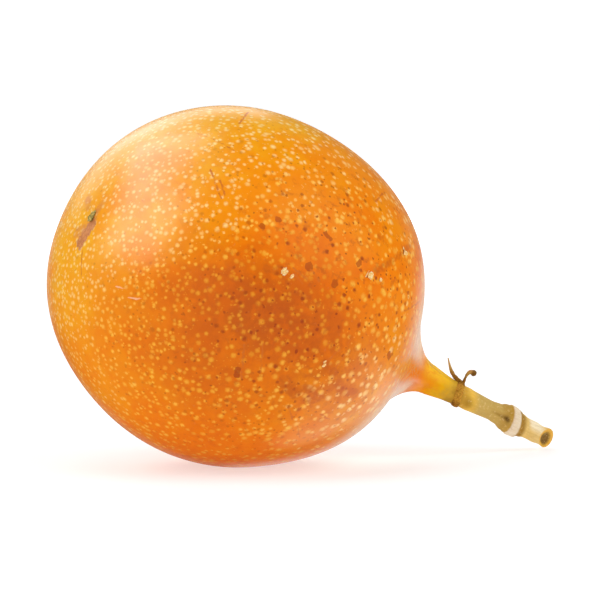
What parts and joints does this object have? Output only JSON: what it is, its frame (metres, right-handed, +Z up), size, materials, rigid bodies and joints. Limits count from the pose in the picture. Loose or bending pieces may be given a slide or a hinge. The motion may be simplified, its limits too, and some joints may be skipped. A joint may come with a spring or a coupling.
{
  "type": "passion fruit",
  "caption": "Round orange passion fruit of the sweet granadilla kind, with its neck and cut stalk, lying on its side.",
  "frame": {"origin": "middle of the small flat spot that the fruit rests on", "axes": "+Z up from the surface, +X towards the stalk, which also turns a little towards +Y"},
  "size_m": [0.0993, 0.0689, 0.0686],
  "materials": {
    "rind": "waxy satin peel with fine pale specks and brown freckles",
    "dry_stem": "dry straw-coloured stalk",
    "dry_flower": "dry brown shrivelled flower base",
    "dry_style": "dry olive-brown stub"
  },
  "bodies": {
    "root": {"fruit": "rind", "stem": "dry_stem", "flower_remains": "dry_flower", "style_stub": "dry_style"}
  },
  "joints": []
}
